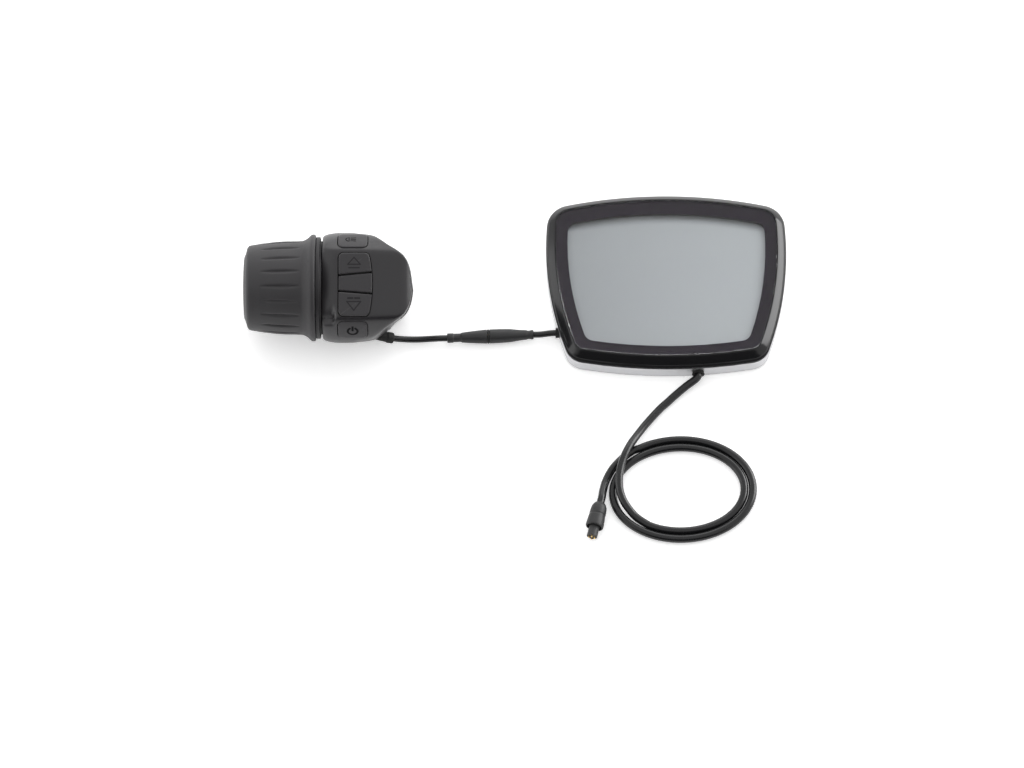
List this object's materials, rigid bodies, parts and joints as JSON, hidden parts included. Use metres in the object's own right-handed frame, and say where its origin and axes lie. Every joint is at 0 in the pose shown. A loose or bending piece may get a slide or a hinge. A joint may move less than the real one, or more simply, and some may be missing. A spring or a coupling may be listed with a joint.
{
  "type": "e-bike display",
  "caption": "Flat colour-screen display with a silver back, wired to a round handlebar remote with a twist grip and five keys, and a looped lead ending in a round plug.",
  "frame": {"origin": "centre of the display's back face, which lies on Z = 0", "axes": "+X to the right along the handlebar, +Y to the top of the display, +Z out of the window"},
  "size_m": [0.2379, 0.1675, 0.0478],
  "materials": {
    "silver_shell": "satin silver paint",
    "black_gloss": "satin-gloss black",
    "black_matte": "fine matt grain",
    "window": "clear, polished",
    "panel": "grey when off",
    "white_plastic": "matt white",
    "board": "green solder resist",
    "steel": "bright zinc",
    "brass": "bright",
    "soft_rubber": "matt",
    "grip_rubber": "matt, slightly worn",
    "key_rubber": "matt with white symbols",
    "cable_jacket": "matt black jacket"
  },
  "bodies": {
    "display_and_leads": {"back_shell": "silver_shell", "front_frame": "black_gloss", "cover_window": "window", "border_sheet": "black_matte", "window_gasket": "soft_rubber", "lcd_panel": "panel", "panel_holder": "white_plastic", "backlight_plate": "white_plastic", "contact_strips": "soft_rubber", "main_board": "board", "board_chips": "black_matte", "cable_headers": "white_plastic", "housing_seal": "soft_rubber", "housing_screws": "steel", "bracket_inserts": "brass", "main_cable_gland": "soft_rubber", "remote_cable_gland": "soft_rubber", "main_cable_lead": "cable_jacket", "main_cable_coil": "cable_jacket", "main_cable_tail": "cable_jacket", "main_plug_body": "black_matte", "main_plug_core": "black_matte", "main_plug_contacts": "brass", "connector_plug": "black_matte", "connector_ring": "soft_rubber", "connector_socket": "black_matte", "connector_contacts": "brass", "remote_cable": "cable_jacket", "display_pigtail": "cable_jacket", "upper_shell": "black_matte", "lower_shell": "black_matte", "shell_screws": "steel", "bar_sleeve": "black_matte", "grub_screw": "steel", "strain_relief": "soft_rubber", "key_carrier": "black_matte", "key_board": "board", "side_boards": "board", "key_switches": "steel", "return_spring": "steel", "hall_sensor": "black_matte", "sensor_board": "board"},
    "twist_grip": {"twist_tube": "black_matte", "grip_sleeve": "grip_rubber", "sensor_magnet": "steel"},
    "up_key": {"up_key": "key_rubber"},
    "middle_key": {"middle_key": "key_rubber"},
    "down_key": {"down_key": "key_rubber"},
    "light_button": {"light_button": "key_rubber"},
    "power_button": {"power_button": "key_rubber"}
  },
  "joints": [
    {"name": "grip_twist", "type": "hinge", "parent": "display_and_leads", "child": "twist_grip", "pos_m": [-0.169, -0.0117, 0.024], "axis": [1, 0, 0], "range_deg": [0, 65], "stiffness_Nm_per_rad": 0.2},
    {"name": "up_key_press", "type": "slide", "parent": "display_and_leads", "child": "up_key", "axis": [0, 0.4131, -0.9107], "range_m": [0, 0.0005], "stiffness_N_per_m": 2500},
    {"name": "middle_key_press", "type": "slide", "parent": "display_and_leads", "child": "middle_key", "axis": [0, 0.4131, -0.9107], "range_m": [0, 0.0005], "stiffness_N_per_m": 2500},
    {"name": "down_key_press", "type": "slide", "parent": "display_and_leads", "child": "down_key", "axis": [0, 0.4131, -0.9107], "range_m": [0, 0.0005], "stiffness_N_per_m": 2500},
    {"name": "light_button_press", "type": "slide", "parent": "display_and_leads", "child": "light_button", "axis": [0, -0.5015, -0.8652], "range_m": [0, 0.0005], "stiffness_N_per_m": 2500},
    {"name": "power_button_press", "type": "slide", "parent": "display_and_leads", "child": "power_button", "axis": [0, 0.9813, -0.1925], "range_m": [0, 0.0005], "stiffness_N_per_m": 2500}
  ]
}
